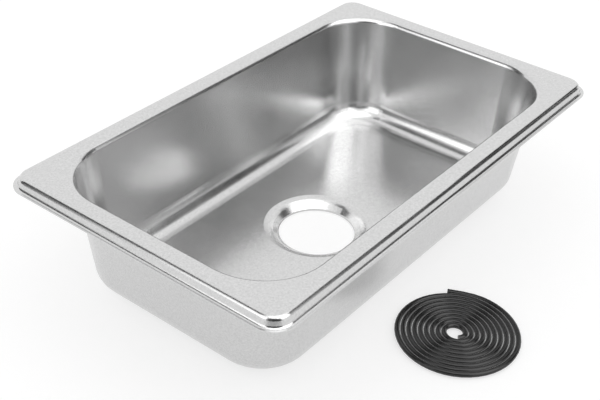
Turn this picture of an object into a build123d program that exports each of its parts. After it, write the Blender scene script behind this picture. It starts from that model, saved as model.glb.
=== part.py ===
"""A small drop-in stainless steel sink with its coil of rubber sealing strip.

The sink is one deep-drawn sheet: a tapered basin with a dished drain hole in its floor,
and a flange whose skirt turns out at its foot into a trimmed lip. The strip lies coiled beside it.
The origin is under the drain hole, on the surface that the sink stands on, with X along
the sink's long side and Z up.
"""

import math
import os

from build123d import *

os.makedirs("parts", exist_ok=True)

# Driving dimensions of the sheet and its rim, in millimetres and degrees; each bend is measured inside
sheet = 0.7
rim_length = 265.0
rim_width = 162.0
rim_drop = 4.7
flange_corner = 8.0
flange_land = 10.2
flange_bend = 1.8
skirt_draft = 18.0
foot_bend = 1.5
lip_flat = 0.8

# Driving dimensions of the basin, measured inside; its corner is the one at the level of the flange
basin_corner = 31.3
basin_depth = 61.1
wall_draft = 7.5
floor_bend = 11.0
mouth_bend = 2.3

# Driving dimensions of the drain
drain_diameter = 40.0
drain_seat = 0.9
dish_run = 4.5
dish_depth = 4.2
dish_bend = 6.5
seat_bend = 0.3

# Driving dimensions of the sealing strip and of the coil that it lies in
strip_diameter = 2.25
turn_gap = 0.5
inner_radius = 3.7
full_turns = 9
coil_along_rim = -21.5
coil_beyond_rim = 17.8
coil_turned = -51.3

# The skirt spreads on its way down, and the bend at its foot takes its share of the lip
skirt_spread = rim_drop * math.tan(math.radians(skirt_draft))
skirt_in = math.tan(math.radians(45 - skirt_draft / 2))
lip_run = skirt_spread + foot_bend * skirt_in + lip_flat

# Levels, from the surface up
floor_under = dish_depth
flange_top = floor_under + sheet + basin_depth
lip_top = flange_top - rim_drop
lip_under = lip_top - sheet

# Outlines of the flange, where its plane meets the skirt's, and of the lip around it
flange_length = rim_length - 2 * lip_run
flange_width = rim_width - 2 * lip_run
lip_corner = flange_corner + lip_run

# The basin at the level of the flange: the land around its mouth lies between it and the skirt
basin_length = flange_length - 2 * flange_land
basin_width = flange_width - 2 * flange_land
wall_across = sheet / math.cos(math.radians(wall_draft))
outside_length = basin_length + 2 * wall_across
outside_width = basin_width + 2 * wall_across
outside_corner = basin_corner + wall_across

# The dish around the drain hole, on its underside
drain_radius = drain_diameter / 2
seat_radius = drain_radius + drain_seat
dish_radius = seat_radius + dish_run


def basin_solid(inset):
    """The basin filled solid: its outside, drawn in all over by the inset."""
    across = inset / math.cos(math.radians(wall_draft))
    floor_level = floor_under + inset
    dish_slope = math.atan2(dish_depth, dish_run)
    dish_in = inset * math.tan(dish_slope / 2)
    with BuildPart() as block:
        with BuildSketch(Plane.XY.offset(flange_top)):
            RectangleRounded(outside_length - 2 * across, outside_width - 2 * across, outside_corner - across)
        extrude(amount=floor_level - flange_top, taper=wall_draft)
        fillet(block.faces().sort_by(Axis.Z)[0].edges(), floor_bend + sheet - inset)
        with Locations((0, 0, inset)):
            Cone(
                seat_radius - dish_in,
                dish_radius - dish_in,
                dish_depth,
                align=(Align.CENTER, Align.CENTER, Align.MIN),
            )
        floor_face = block.faces().filter_by(Axis.Z).sort_by(Axis.Z)[1]
        fillet(floor_face.inner_wires()[0].edges(), dish_bend + inset)
        fillet(block.faces().sort_by(Axis.Z)[0].edges(), seat_bend + sheet - inset)
    return block.part


def rim_solid(inset):
    """The rim filled solid: the flange and its skirt, drawn in all over by the inset."""
    across = inset * skirt_in
    with BuildPart() as block:
        with BuildSketch(Plane.XY.offset(flange_top - inset)):
            RectangleRounded(flange_length - 2 * across, flange_width - 2 * across, flange_corner - across)
        extrude(amount=lip_under - flange_top + inset, taper=-skirt_draft)
        fillet(block.faces().sort_by(Axis.Z)[-1].edges(), flange_bend + sheet - inset)
    return block.part


def level_face(part, level):
    """The flat face of a part that lies at a level."""
    return part.faces().filter_by(Axis.Z).filter_by_position(Axis.Z, level - sheet / 4, level + sheet / 4)[0]


# The sink: a skirted rim with its lip, the basin let into it, and the drain hole
rim_outside = rim_solid(0)
rim_inside = rim_solid(sheet)
basin_outside = basin_solid(0)
basin_inside = basin_solid(sheet)
with BuildPart() as sink_bowl:
    add(rim_outside)
    with BuildSketch(Plane.XY.offset(lip_under)):
        RectangleRounded(rim_length, rim_width, lip_corner)
    extrude(amount=sheet)
    fillet(level_face(sink_bowl, lip_top).inner_wires()[0].edges(), foot_bend)
    add(rim_inside, mode=Mode.SUBTRACT)
    fillet(level_face(sink_bowl, lip_under).inner_wires()[0].edges(), foot_bend + sheet)
    add(basin_outside)
    fillet(level_face(sink_bowl, flange_top - sheet).inner_wires()[0].edges(), mouth_bend)
    add(basin_inside, mode=Mode.SUBTRACT)
    fillet(level_face(sink_bowl, flange_top).inner_wires()[0].edges(), mouth_bend + sheet)
    Cylinder(drain_radius, 4 * sheet, mode=Mode.SUBTRACT)
sink_bowl.part.label = "sink_bowl"
export_step(sink_bowl.part, "parts/sink_bowl.step")

# The coil's line: half turns on two centres, half a turn's step apart, with a quarter at each end
turn_step = strip_diameter + turn_gap
half_turns = 2 * full_turns
outer_radius = inner_radius + (half_turns + 1) * turn_step / 2
coil_middle = (coil_along_rim, -rim_width / 2 - coil_beyond_rim, strip_diameter / 2)
coil_plane = Plane(coil_middle).rotated((0, 0, coil_turned))
with BuildLine(coil_plane) as strip_line:
    CenterArc((0, 0), outer_radius, 90, -90)
    for half_turn in range(1, half_turns + 1):
        odd = half_turn % 2
        arc_centre = (odd * turn_step / 2, 0)
        CenterArc(arc_centre, outer_radius - half_turn * turn_step / 2, 180 - odd * 180, -180)
    CenterArc((turn_step / 2, 0), inner_radius, 0, -90)
strip_path = strip_line.wires()[0]

# The sealing strip: a round rubber cord along that line
with BuildPart() as sealing_strip:
    with BuildSketch(strip_path ^ 0):
        Circle(strip_diameter / 2)
    sweep(path=strip_path)
sealing_strip.part.label = "sealing_strip"
export_step(sealing_strip.part, "parts/sealing_strip.step")

# How near the strip comes to itself, on points half a diameter apart along its line
strip_length = strip_path.length
spans = math.ceil(2 * strip_length / strip_diameter)
strip_points = [tuple(strip_path @ (i / spans)) for i in range(spans + 1)]

# Only points that are over half of the innermost turn apart count as another part of the strip
apart = math.ceil(math.pi * inner_radius / strip_length * spans)
least_gap = min(
    math.dist(point, other)
    for i, point in enumerate(strip_points)
    for other in strip_points[i + apart :]
)
swept_share = sealing_strip.part.volume / (strip_length * math.pi * (strip_diameter / 2) ** 2)
print(f"sealing strip: {strip_length:.0f} mm long, least gap to itself {least_gap - strip_diameter:.2f} mm")
print(f"sealing strip: its volume is {swept_share:.4f} of its section times its length")
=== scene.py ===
"""Looks of a drop-in stainless steel sink and of the coil of rubber sealing strip beside it."""

import math

import bpy
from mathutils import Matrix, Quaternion, Vector


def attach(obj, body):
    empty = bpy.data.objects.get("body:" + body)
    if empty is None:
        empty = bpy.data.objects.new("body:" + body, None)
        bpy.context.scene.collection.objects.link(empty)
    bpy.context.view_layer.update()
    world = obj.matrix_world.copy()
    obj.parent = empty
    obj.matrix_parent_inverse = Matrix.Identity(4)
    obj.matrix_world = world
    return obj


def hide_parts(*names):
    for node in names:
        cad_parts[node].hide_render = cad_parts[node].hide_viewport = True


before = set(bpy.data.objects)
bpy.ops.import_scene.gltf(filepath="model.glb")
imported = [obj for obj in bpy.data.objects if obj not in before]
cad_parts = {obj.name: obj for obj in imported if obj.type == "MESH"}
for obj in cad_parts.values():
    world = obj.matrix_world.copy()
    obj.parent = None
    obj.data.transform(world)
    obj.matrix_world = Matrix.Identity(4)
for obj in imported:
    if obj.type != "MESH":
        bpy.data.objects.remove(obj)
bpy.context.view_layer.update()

MM = 0.001

# The camera, fitted to the rim, the basin and the drain hole in the photograph
camera_place = Vector((-382.0, -278.2, 345.9)) * MM
camera_aim = Vector((-21.3, -4.4, 33.8)) * MM
camera_roll = math.radians(2.33)
focal_pixels = 1110.0
picture_width = 600
sensor_width = 36.0

# The sealing strip, on the line of the solid that it replaces. The solid's turns are kept apart: here they
# nearly touch, as the real ones do
strip_diameter = 2.65 * MM
turn_step = 2.75 * MM
inner_radius = 3.7 * MM
full_turns = 9
coil_middle = Vector((-21.5 * MM, -98.8 * MM, strip_diameter / 2))
coil_turned = math.radians(-51.3)
points_per_turn = 16

# The steel's finish: its two tones and its range of roughness, then the sizes and depths of its patterns
steel_dull = "#C2C2C2"
steel_bright = "#DCDCDC"
steel_smooth = 0.20
steel_rough = 0.25
steel_speckle = 0.9 * MM
steel_cloud = 28 * MM
steel_grain = 0.5 * MM
grain_depth = 0.005 * MM
draw_streak = 4 * MM
draw_length = 90 * MM
streak_depth = 0.01 * MM

# The rubber's finish
rubber_charcoal = "#141414"
rubber_roughness = 0.24
rubber_skin = 0.6 * MM
skin_depth = 0.02 * MM

# Nearly all of a noise pattern lies between these values
noise_low = 0.3
noise_high = 0.7

# The studio, in metres; a brightness of 1 is white
floor_size = 12.0
floor_drop = 0.2 * MM
floor_grey = "#BABABA"
floor_glow = 0.6
tent_colour = "#FFFFFF"
tent_light = 0.9
tent_white = 1.07
felt_grey = "#404040"


def linear(hex_colour):
    """An sRGB hex colour as linear red, green, blue and alpha."""
    channels = [int(hex_colour[i : i + 2], 16) / 255 for i in (1, 3, 5)]
    return [c / 12.92 if c <= 0.04045 else ((c + 0.055) / 1.055) ** 2.4 for c in channels] + [1.0]


def add_node(tree, kind, inputs=None, **settings):
    """Adds a node, sets its properties, and gives its sockets, by name or number, values or links."""
    node = tree.nodes.new(kind)
    for name, value in settings.items():
        setattr(node, name, value)
    for socket, value in (inputs or {}).items():
        if isinstance(value, bpy.types.NodeSocket):
            tree.links.new(value, node.inputs[socket])
        else:
            node.inputs[socket].default_value = value
    return node


def new_material(name):
    """A material with no nodes yet, and its node tree."""
    material = bpy.data.materials.new(name)
    material.use_nodes = True
    material.node_tree.nodes.clear()
    return material, material.node_tree


def satin_steel():
    """Deep-drawn stainless sheet with its satin mill finish.

    A neutral grey metal whose fine pickled grain blurs what it mirrors and speckles it faintly. Rolling
    and handling leave soft clouds in the finish, and drawing leaves faint streaks up the walls.
    """
    material, tree = new_material("satin_stainless_steel")
    place = add_node(tree, "ShaderNodeTexCoord").outputs["Object"]

    # The pickled grain is some 0.03 mm across: its speckle and its relief are drawn coarser, or they
    # wouldn't show. A colour mix has its factor at socket 0, its colours at 6 and 7, and its result at 2
    speckles = {"Vector": place, "Scale": 1 / steel_speckle, "Detail": 1.0}
    speckled = add_node(tree, "ShaderNodeTexNoise", speckles)
    tones = {0: speckled.outputs[0], 6: linear(steel_dull), 7: linear(steel_bright)}
    tint = add_node(tree, "ShaderNodeMix", tones, data_type="RGBA")
    grains = {"Vector": place, "Scale": 1 / steel_grain, "Detail": 2.0}
    grain = add_node(tree, "ShaderNodeTexNoise", grains)
    grained = add_node(tree, "ShaderNodeBump", {"Height": grain.outputs[0], "Distance": grain_depth})

    # The clouds are slightly rougher patches
    clouds = add_node(tree, "ShaderNodeTexNoise", {"Vector": place, "Scale": 1 / steel_cloud, "Detail": 3.0})
    cloudy = add_node(
        tree,
        "ShaderNodeMapRange",
        {
            "Value": clouds.outputs[0],
            "From Min": noise_low,
            "From Max": noise_high,
            "To Min": steel_smooth,
            "To Max": steel_rough,
        },
    )

    # The streaks of the draw run up the walls
    stretch = (1 / draw_streak, 1 / draw_streak, 1 / draw_length)
    upright = add_node(tree, "ShaderNodeMapping", {"Vector": place, "Scale": stretch})
    streaks = {"Vector": upright.outputs[0], "Scale": 1.0, "Detail": 2.0}
    streaked = add_node(tree, "ShaderNodeTexNoise", streaks)
    relief = add_node(
        tree,
        "ShaderNodeBump",
        {"Height": streaked.outputs[0], "Distance": streak_depth, "Normal": grained.outputs[0]},
    )
    shader = add_node(
        tree,
        "ShaderNodeBsdfPrincipled",
        {
            "Base Color": tint.outputs[2],
            "Metallic": 1.0,
            "Roughness": cloudy.outputs[0],
            "Normal": relief.outputs[0],
        },
    )
    add_node(tree, "ShaderNodeOutputMaterial", {"Surface": shader.outputs[0]})
    return material


def black_rubber():
    """Extruded black rubber: charcoal, with a fine matt skin and a soft sheen along each turn."""
    material, tree = new_material("extruded_black_rubber")
    place = add_node(tree, "ShaderNodeTexCoord").outputs["Object"]
    skin = add_node(tree, "ShaderNodeTexNoise", {"Vector": place, "Scale": 1 / rubber_skin, "Detail": 3.0})
    relief = add_node(tree, "ShaderNodeBump", {"Height": skin.outputs[0], "Distance": skin_depth})
    shader = add_node(
        tree,
        "ShaderNodeBsdfPrincipled",
        {
            "Base Color": linear(rubber_charcoal),
            "Roughness": rubber_roughness,
            "Normal": relief.outputs[0],
        },
    )
    add_node(tree, "ShaderNodeOutputMaterial", {"Surface": shader.outputs[0]})
    return material


def coil_points():
    """Control points of the coil's line, half turns on two centres, from its outer end inwards."""
    half_turns = 2 * full_turns
    outer_radius = inner_radius + (half_turns + 1) * turn_step / 2
    turned = Quaternion((0, 0, 1), coil_turned)
    per_half = points_per_turn // 2

    # The curve runs inside its control points, so they lie a little further out
    swell = 1 / math.cos(math.pi / points_per_turn)
    points = []
    for i in range((half_turns + 1) * per_half + 1):
        angle = math.pi / 2 - 2 * math.pi * i / points_per_turn
        half_turn = (i + per_half // 2) // per_half
        odd = half_turn % 2
        radius = (outer_radius - half_turn * turn_step / 2) * swell
        place = Vector((odd * turn_step / 2 + radius * math.cos(angle), radius * math.sin(angle), 0))
        points.append(coil_middle + turned @ place)
    return points


def sealing_strip():
    """The strip as a round cord along the coil's line, in place of its solid."""
    curve = bpy.data.curves.new("sealing_strip_cord", "CURVE")
    curve.dimensions = "3D"
    curve.bevel_depth = strip_diameter / 2
    curve.bevel_resolution = 4
    curve.use_fill_caps = True
    curve.resolution_u = 3
    spline = curve.splines.new("NURBS")
    points = coil_points()
    spline.points.add(len(points) - 1)
    for target, point in zip(spline.points, points):
        target.co = (*point, 1)
    spline.order_u = 3
    spline.use_endpoint_u = True
    piece = bpy.data.objects.new("sealing_strip_cord", curve)
    bpy.context.scene.collection.objects.link(piece)
    piece.data.materials.append(black_rubber())

    # The steel doesn't mirror the coil, so that the wall behind it stays as clear as in the photograph
    piece.visible_glossy = False
    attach(piece, "strip_coil")
    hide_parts("sealing_strip")


def seen_rays(tree):
    """1 for what the camera sees, straight or in metal and glass, and 0 for light on its way."""
    path = add_node(tree, "ShaderNodeLightPath").outputs
    through = {0: path["Is Glossy Ray"], 1: path["Is Transmission Ray"]}
    mirrored = add_node(tree, "ShaderNodeMath", through, operation="MAXIMUM")
    seen = {0: path["Is Camera Ray"], 1: mirrored.outputs[0]}
    return add_node(tree, "ShaderNodeMath", seen, operation="MAXIMUM").outputs[0]


def pale_floor():
    """A pale floor that glows a little where it is seen, so that it renders white and keeps the shadow."""
    material, tree = new_material("pale_floor")
    lit = add_node(tree, "ShaderNodeBsdfDiffuse", {"Color": linear(floor_grey)})
    glow = add_node(tree, "ShaderNodeMath", {0: seen_rays(tree), 1: floor_glow}, operation="MULTIPLY")
    glowing = add_node(tree, "ShaderNodeEmission", {"Strength": glow.outputs[0]})
    both = add_node(tree, "ShaderNodeAddShader", {0: lit.outputs[0], 1: glowing.outputs[0]})
    add_node(tree, "ShaderNodeOutputMaterial", {"Surface": both.outputs[0]})
    bpy.ops.mesh.primitive_plane_add(size=floor_size, location=(0, 0, -floor_drop))
    floor = bpy.context.object
    floor.name = "floor"
    floor.data.materials.append(material)


def white_tent():
    """A white tent all round, which lights the floor evenly."""
    world = bpy.data.worlds.new("white_tent")
    world.use_nodes = True
    tree = world.node_tree
    tree.nodes.clear()
    levels = {"Value": seen_rays(tree), "To Min": tent_light, "To Max": tent_white}
    strength = add_node(tree, "ShaderNodeMapRange", levels)
    cloth = {"Color": linear(tent_colour), "Strength": strength.outputs[0]}
    tent = add_node(tree, "ShaderNodeBackground", cloth)
    add_node(tree, "ShaderNodeOutputWorld", {"Surface": tent.outputs[0]})
    bpy.context.scene.world = world


def dark_felt():
    """Dark grey wool felt: dull all over, so that the steel mirrors it as an even dark grey."""
    material, tree = new_material("dark_felt")
    shader = add_node(tree, "ShaderNodeBsdfDiffuse", {"Color": linear(felt_grey)})
    add_node(tree, "ShaderNodeOutputMaterial", {"Surface": shader.outputs[0]})
    return material


def around(azimuth, elevation, distance):
    """A place as seen from the sink: its azimuth is from +X towards +Y, and angles are in degrees."""
    azimuth = math.radians(azimuth)
    elevation = math.radians(elevation)
    level = distance * math.cos(elevation)
    return Vector((level * math.cos(azimuth), level * math.sin(azimuth), distance * math.sin(elevation)))


def softbox(name, azimuth, elevation, distance, width, height, brightness):
    """A softbox that faces the sink and lights its gloss alone: the tent lights the rest evenly."""
    lamp = bpy.data.lights.new(name, "AREA")
    lamp.shape = "RECTANGLE"
    lamp.size = width
    lamp.size_y = height
    lamp.energy = brightness * math.pi * width * height
    box = bpy.data.objects.new(name, lamp)
    bpy.context.scene.collection.objects.link(box)
    box.location = around(azimuth, elevation, distance)
    box.rotation_euler = (-box.location).to_track_quat("-Z", "Y").to_euler()
    box.visible_diffuse = False


def dark_card(name, place, turned, width, height, material):
    """A dark card for the steel to mirror, which shades nothing else."""
    bpy.ops.mesh.primitive_plane_add(size=1, location=place, rotation=turned)
    card = bpy.context.object
    card.name = name
    card.scale = (width, height, 1)
    card.visible_camera = False
    card.visible_diffuse = False
    card.visible_transmission = False
    card.visible_shadow = False
    card.data.materials.append(material)


def standing_card(name, azimuth, distance, base, width, height, material):
    """A dark card that stands by the sink and faces it."""
    place = around(azimuth, 0, distance)
    turned = (-place).to_track_quat("Z", "Y").to_euler()
    place.z = base + height / 2
    dark_card(name, place, turned, width, height, material)


def studio():
    """A floor in a tent, softboxes for the steel's bright areas, and cards for its dark lines and corners."""
    bpy.context.scene.view_settings.view_transform = "Standard"
    pale_floor()
    white_tent()
    softbox("left_softbox", azimuth=177, elevation=28, distance=2.4, width=2.45, height=1.4, brightness=1.15)
    softbox("right_softbox", azimuth=272, elevation=40, distance=2.4, width=2.3, height=1.8, brightness=1.3)
    softbox("top_softbox", azimuth=250, elevation=72, distance=1.8, width=2.0, height=1.1, brightness=1.25)
    felt = dark_felt()
    standing_card("rear_card", azimuth=127.5, distance=2.0, base=0, width=1.0, height=5.0, material=felt)
    standing_card(
        "front_card", azimuth=217, distance=0.36, base=0.045, width=0.33, height=0.245, material=felt
    )
    standing_card("right_card", azimuth=320, distance=2.0, base=0, width=1.07, height=2.5, material=felt)

    # One more card hangs level over the right half of the front rim, for the dark line along its bend
    over_rim = Vector((155, -97, 106)) * MM
    dark_card("rim_card", over_rim, turned=(0, 0, 0), width=210 * MM, height=30 * MM, material=felt)


def camera():
    """A camera at the photograph's viewing angle."""
    data = bpy.data.cameras.new("camera")
    data.sensor_width = sensor_width
    data.lens = focal_pixels / picture_width * sensor_width
    view = bpy.data.objects.new("camera", data)
    bpy.context.scene.collection.objects.link(view)
    view.location = camera_place
    look = (camera_aim - camera_place).to_track_quat("-Z", "Y")
    view.rotation_mode = "QUATERNION"
    view.rotation_quaternion = look @ Quaternion((0, 0, 1), camera_roll)
    bpy.context.scene.camera = view


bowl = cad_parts["sink_bowl"]
bowl.data.materials.clear()
bowl.data.materials.append(satin_steel())
sealing_strip()
studio()
camera()
